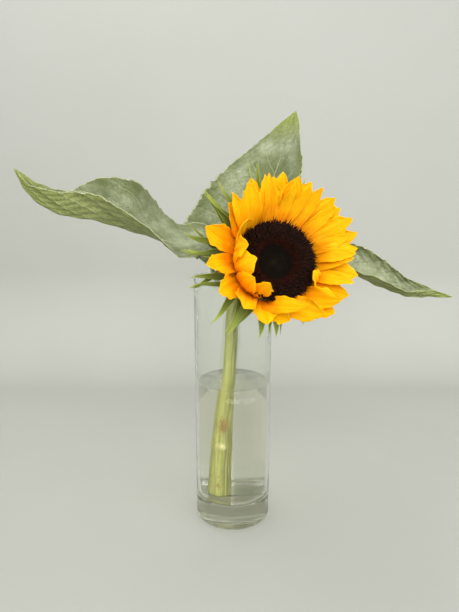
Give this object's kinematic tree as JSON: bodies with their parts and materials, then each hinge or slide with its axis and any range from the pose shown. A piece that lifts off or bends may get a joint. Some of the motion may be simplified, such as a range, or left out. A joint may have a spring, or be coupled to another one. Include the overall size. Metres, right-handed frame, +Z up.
{
  "type": "sunflower in a glass cylinder vase",
  "caption": "Cut sunflower with large serrated leaves, standing in a tall clear glass cylinder vase part filled with water; its head leans over the rim.",
  "frame": {"origin": "centre of the vase's flat foot, on the surface that it stands on", "axes": "+Z up along the vase, -Y towards the side that the flower looks to, +X to the right as seen from there"},
  "size_m": [0.3995, 0.164, 0.4352],
  "materials": {
    "glass": "gloss",
    "water": "gloss",
    "stem": "satin",
    "leaf": "satin",
    "bract": "satin",
    "petal": "satin",
    "disc": "matte"
  },
  "bodies": {
    "root": {"vase": "glass", "water": "water", "stem": "stem", "receptacle": "bract", "disc_florets": "disc", "leaf_left": "leaf", "leaf_back": "leaf", "leaf_right": "leaf", "ray_petal_01": "petal", "ray_petal_02": "petal", "ray_petal_03": "petal", "ray_petal_04": "petal", "ray_petal_05": "petal", "ray_petal_06": "petal", "ray_petal_07": "petal", "ray_petal_08": "petal", "ray_petal_09": "petal", "ray_petal_10": "petal", "ray_petal_11": "petal", "ray_petal_12": "petal", "ray_petal_13": "petal", "ray_petal_14": "petal", "ray_petal_15": "petal", "ray_petal_16": "petal", "ray_petal_17": "petal", "ray_petal_18": "petal", "ray_petal_19": "petal", "ray_petal_20": "petal", "ray_petal_21": "petal", "ray_petal_22": "petal", "ray_petal_23": "petal", "ray_petal_24": "petal", "ray_petal_25": "petal", "ray_petal_26": "petal", "ray_petal_27": "petal", "ray_petal_28": "petal", "ray_petal_29": "petal", "ray_petal_30": "petal", "bract_01": "bract", "bract_02": "bract", "bract_03": "bract", "bract_04": "bract", "bract_05": "bract", "bract_06": "bract", "bract_07": "bract", "bract_08": "bract", "bract_09": "bract", "bract_10": "bract", "bract_11": "bract", "bract_12": "bract", "bract_13": "bract", "bract_14": "bract", "bract_15": "bract", "bract_16": "bract", "bract_17": "bract"}
  },
  "joints": []
}
